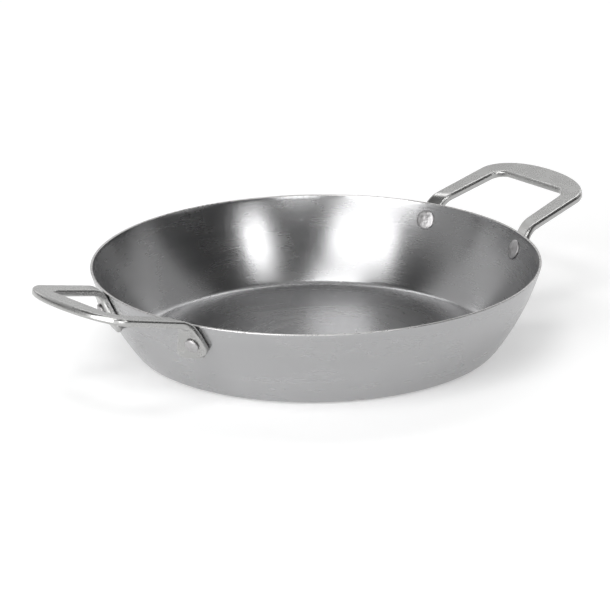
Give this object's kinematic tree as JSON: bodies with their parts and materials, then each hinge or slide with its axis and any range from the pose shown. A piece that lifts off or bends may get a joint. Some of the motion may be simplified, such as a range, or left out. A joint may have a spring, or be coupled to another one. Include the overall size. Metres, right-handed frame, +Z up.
{
  "type": "two-handled frying pan",
  "caption": "Round steel pan with a flat floor, a flared curved wall and riveted strap loop handles on opposite sides, for frying and serving.",
  "frame": {"origin": "centre of the flat underside, on the surface the pan stands on", "axes": "+X runs along the two handles, +Z up along the pan's own axis"},
  "size_m": [0.4002, 0.28, 0.0721],
  "materials": {
    "sheet_steel": "satin spun raw steel with fine circular lines",
    "strap_steel": "tumbled satin steel with polished rounded edges",
    "rivet_metal": "matt, upset heads"
  },
  "bodies": {
    "root": {"pan_body": "sheet_steel", "handle_left": "strap_steel", "handle_right": "strap_steel", "rivet_left_front": "rivet_metal", "rivet_left_back": "rivet_metal", "rivet_right_front": "rivet_metal", "rivet_right_back": "rivet_metal"}
  },
  "joints": []
}
